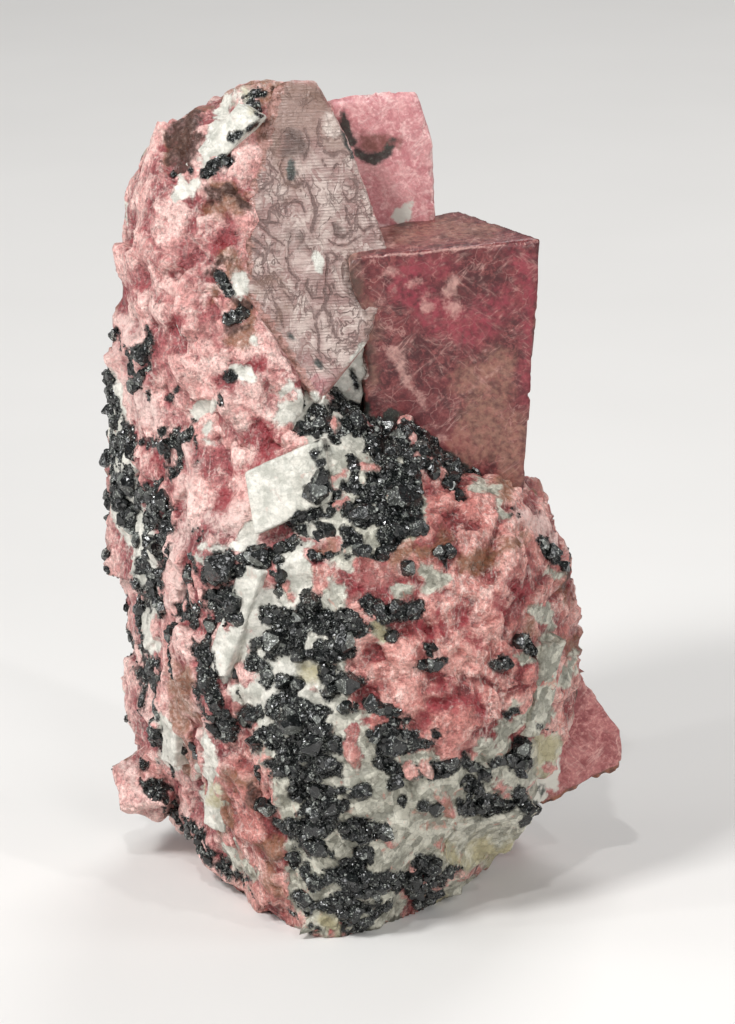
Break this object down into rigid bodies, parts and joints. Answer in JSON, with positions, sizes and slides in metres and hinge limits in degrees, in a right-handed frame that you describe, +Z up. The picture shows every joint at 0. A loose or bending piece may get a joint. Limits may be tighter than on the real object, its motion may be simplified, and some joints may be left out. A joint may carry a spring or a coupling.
{
  "type": "rough rhodonite specimen",
  "caption": "Rough rhodonite stone with intergrown pink crystals, white calcite and black franklinite, standing upright on a flat broken base.",
  "frame": {"origin": "on the flat broken base that the stone stands on, at the base mount", "axes": "+Z up along the stone's long axis, -Y towards the viewer of its best side, +X to that viewer's right"},
  "size_m": [0.0549, 0.045, 0.0878],
  "materials": {
    "rhodonite": "rose-pink to brownish-pink crystal and broken stone, satin cleavage faces beside rough ones",
    "franklinite": "iron-black grains and rounded octahedra with a dull metallic shine",
    "calcite": "white to pale greenish-yellow cleavage plates, pearly"
  },
  "bodies": {
    "root": {"rhodonite_specimen": "rhodonite"}
  },
  "joints": []
}
